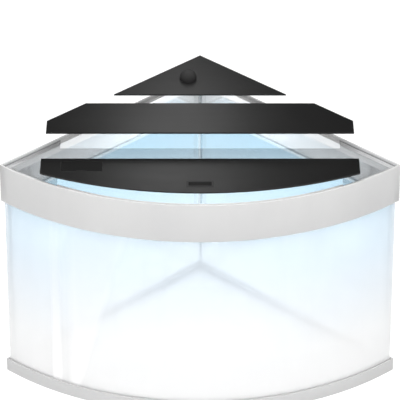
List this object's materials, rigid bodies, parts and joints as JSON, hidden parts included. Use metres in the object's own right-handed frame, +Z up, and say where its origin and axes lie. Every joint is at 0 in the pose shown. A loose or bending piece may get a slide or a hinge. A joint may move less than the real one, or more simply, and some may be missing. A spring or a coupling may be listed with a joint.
{
  "type": "glass aquarium tank",
  "caption": "Bow-front corner glass aquarium with a light grey top and base frame, smoked cross-braces, and dark cover flaps lifted above the rim.",
  "frame": {"origin": "centre of the footprint's bounding box, on the surface the tank stands on", "axes": "+X across the tank to the right seen from the bowed front, +Y towards the square rear corner, +Z up"},
  "size_m": [0.99, 0.6999, 0.6833],
  "materials": {
    "glass": "clear float glass with a faint blue-green tint and ground edges",
    "silicone": "translucent grey silicone",
    "frame_plastic": "light grey satin moulding",
    "smoked_plastic": "translucent smoked grey plastic",
    "flap_plastic": "dark grey satin with a fine grain",
    "trim_plastic": "black-grey matte moulding",
    "steel": "stainless steel"
  },
  "bodies": {
    "tank": {"bottom_pane": "glass", "rear_left_pane": "glass", "rear_right_pane": "glass", "front_pane": "glass", "rear_corner_seam": "silicone", "left_corner_seam": "silicone", "right_corner_seam": "silicone", "floor_seam": "silicone", "base_frame": "frame_plastic", "base_bedding": "silicone", "top_frame": "frame_plastic", "top_frame_bedding": "silicone", "brace_deck": "smoked_plastic", "rear_brace": "smoked_plastic", "brace_bond": "silicone"},
    "front_cover": {"front_flap": "flap_plastic", "hatch_hinge_pin": "steel", "finger_grip": "trim_plastic"},
    "hatch": {"feeding_hatch": "trim_plastic"},
    "middle_cover": {"middle_flap": "flap_plastic"},
    "rear_cover": {"rear_flap": "flap_plastic", "rear_knob": "trim_plastic", "knob_screw": "steel"}
  },
  "joints": [
    {"name": "front_flap_lift", "type": "slide", "parent": "tank", "child": "front_cover", "axis": [0, 0, 1], "range_m": [-0.022, 0.15]},
    {"name": "feeding_hatch_hinge", "type": "hinge", "parent": "front_cover", "child": "hatch", "pos_m": [-0.2905, -0.16728, 0.619], "axis": [-1, 0, 0], "range_deg": [0, 95]},
    {"name": "middle_flap_lift", "type": "slide", "parent": "tank", "child": "middle_cover", "axis": [0, 0, 1], "range_m": [-0.069, 0.15]},
    {"name": "rear_flap_lift", "type": "slide", "parent": "tank", "child": "rear_cover", "axis": [0, 0, 1], "range_m": [-0.058, 0.15]}
  ]
}
